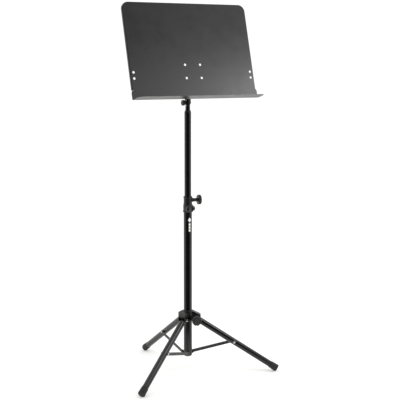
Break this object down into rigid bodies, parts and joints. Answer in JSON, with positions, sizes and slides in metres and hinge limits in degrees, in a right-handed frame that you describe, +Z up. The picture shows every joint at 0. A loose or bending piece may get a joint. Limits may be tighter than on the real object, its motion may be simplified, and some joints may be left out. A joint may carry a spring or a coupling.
{
  "type": "music stand",
  "caption": "Floor-standing music stand with a tilting perforated sheet-metal desk and shelf, telescoping mast, clamp knobs and a folding tripod base.",
  "frame": {"origin": "centre of the bounding box's base, on the floor plane", "axes": "+Z up along the mast, the desk faces -Y, +X is the reader's right hand"},
  "size_m": [0.598, 0.536, 1.3649],
  "materials": {
    "powder_coated_steel": "semi-gloss black powder coat",
    "black_nylon": "moulded, fine satin",
    "black_rubber": "matt",
    "zinc_plated_steel": "bright zinc plate",
    "brass_pad": "as turned"
  },
  "bodies": {
    "mast": {"outer_tube": "powder_coated_steel", "mast_bushing": "black_nylon", "clamp_collar": "black_nylon", "clamp_pad": "brass_pad", "clamp_screw_1": "zinc_plated_steel", "clamp_screw_2": "zinc_plated_steel", "bottom_plug": "black_nylon", "brace_pin_right": "zinc_plated_steel", "brace_pin_back": "zinc_plated_steel", "brace_pin_left": "zinc_plated_steel"},
    "height_knob": {"height_knob": "black_nylon"},
    "upper_mast": {"upper_tube": "powder_coated_steel", "post_bushing": "black_nylon", "tube_guide": "black_nylon"},
    "post": {"desk_post": "powder_coated_steel", "tilt_bolt": "zinc_plated_steel", "tilt_washer": "black_nylon"},
    "desk": {"desk_plate": "powder_coated_steel", "desk_bracket": "powder_coated_steel", "desk_nut_1": "zinc_plated_steel", "desk_nut_2": "zinc_plated_steel", "desk_nut_3": "zinc_plated_steel", "desk_nut_4": "zinc_plated_steel"},
    "tilt_knob": {"tilt_knob": "black_nylon"},
    "hub": {"hub": "powder_coated_steel", "hub_pad": "brass_pad", "leg_pin_right": "zinc_plated_steel", "leg_pin_back": "zinc_plated_steel", "leg_pin_left": "zinc_plated_steel"},
    "hub_knob": {"hub_knob": "black_nylon"},
    "leg_right": {"leg_right": "powder_coated_steel", "leg_end_right": "black_nylon", "foot_right": "black_rubber", "leg_rivet_right": "zinc_plated_steel"},
    "brace_right": {"brace_right": "powder_coated_steel", "brace_rivet_right": "zinc_plated_steel"},
    "leg_back": {"leg_back": "powder_coated_steel", "leg_end_back": "black_nylon", "foot_back": "black_rubber", "leg_rivet_back": "zinc_plated_steel"},
    "brace_back": {"brace_back": "powder_coated_steel", "brace_rivet_back": "zinc_plated_steel"},
    "leg_left": {"leg_left": "powder_coated_steel", "leg_end_left": "black_nylon", "foot_left": "black_rubber", "leg_rivet_left": "zinc_plated_steel"},
    "brace_left": {"brace_left": "powder_coated_steel", "brace_rivet_left": "zinc_plated_steel"}
  },
  "joints": [
    {"name": "height_slide", "type": "slide", "parent": "mast", "child": "upper_mast", "axis": [0, 0, 1], "range_m": [-0.27, 0.17]},
    {"name": "height_knob_turn", "type": "hinge", "parent": "mast", "child": "height_knob", "pos_m": [-0.00819, -0.0741, 0.6525], "axis": [0.981, -0.1942, 0], "range_deg": [0, 360]},
    {"name": "desk_swivel", "type": "hinge", "parent": "upper_mast", "child": "post", "pos_m": [-0.00819, -0.0741, 0.957], "axis": [0, 0, 1], "continuous": true},
    {"name": "desk_tilt", "type": "hinge", "parent": "post", "child": "desk", "pos_m": [-0.00819, -0.0741, 1.0093], "axis": [-1, 0, 0], "range_deg": [-15, 74]},
    {"name": "tilt_knob_turn", "type": "hinge", "parent": "post", "child": "tilt_knob", "pos_m": [-0.02619, -0.0741, 1.0093], "axis": [-1, 0, 0], "range_deg": [0, 360]},
    {"name": "hub_slide", "type": "slide", "parent": "mast", "child": "hub", "axis": [0, 0, 1], "range_m": [0, 0.1969]},
    {"name": "hub_knob_turn", "type": "hinge", "parent": "hub", "child": "hub_knob", "pos_m": [-0.00819, -0.0741, 0.21], "axis": [0.0506, -0.9987, 0], "range_deg": [0, 360]},
    {"name": "leg_right_fold", "type": "hinge", "parent": "hub", "child": "leg_right", "pos_m": [0.02128, -0.08918, 0.2062], "axis": [0.4555, 0.8902, 0], "range_deg": [0, 57.3]},
    {"name": "brace_right_fold", "type": "hinge", "parent": "mast", "child": "brace_right", "pos_m": [0.00792, -0.08235, 0.0767], "axis": [-0.4555, -0.8902, 0], "range_deg": [0, 71.1]},
    {"name": "leg_back_fold", "type": "hinge", "parent": "hub", "child": "leg_back", "pos_m": [-0.00987, -0.04104, 0.2062], "axis": [-0.9987, -0.0506, 0], "range_deg": [0, 57.3]},
    {"name": "brace_back_fold", "type": "hinge", "parent": "mast", "child": "brace_back", "pos_m": [-0.00911, -0.05602, 0.0767], "axis": [0.9987, 0.0506, 0], "range_deg": [0, 71.1]},
    {"name": "leg_left_fold", "type": "hinge", "parent": "hub", "child": "leg_left", "pos_m": [-0.03598, -0.09208, 0.2062], "axis": [0.5432, -0.8396, 0], "range_deg": [0, 57.3]},
    {"name": "brace_left_fold", "type": "hinge", "parent": "mast", "child": "brace_left", "pos_m": [-0.02339, -0.08393, 0.0767], "axis": [-0.5432, 0.8396, 0], "range_deg": [0, 71.1]}
  ],
  "couplings": [
    {"joint": "leg_right_fold", "follows": "hub_slide", "rad_per_m": 5.057},
    {"joint": "brace_right_fold", "follows": "hub_slide", "rad_per_m": 6.262},
    {"joint": "leg_back_fold", "follows": "hub_slide", "rad_per_m": 5.057},
    {"joint": "brace_back_fold", "follows": "hub_slide", "rad_per_m": 6.262},
    {"joint": "leg_left_fold", "follows": "hub_slide", "rad_per_m": 5.057},
    {"joint": "brace_left_fold", "follows": "hub_slide", "rad_per_m": 6.262}
  ]
}
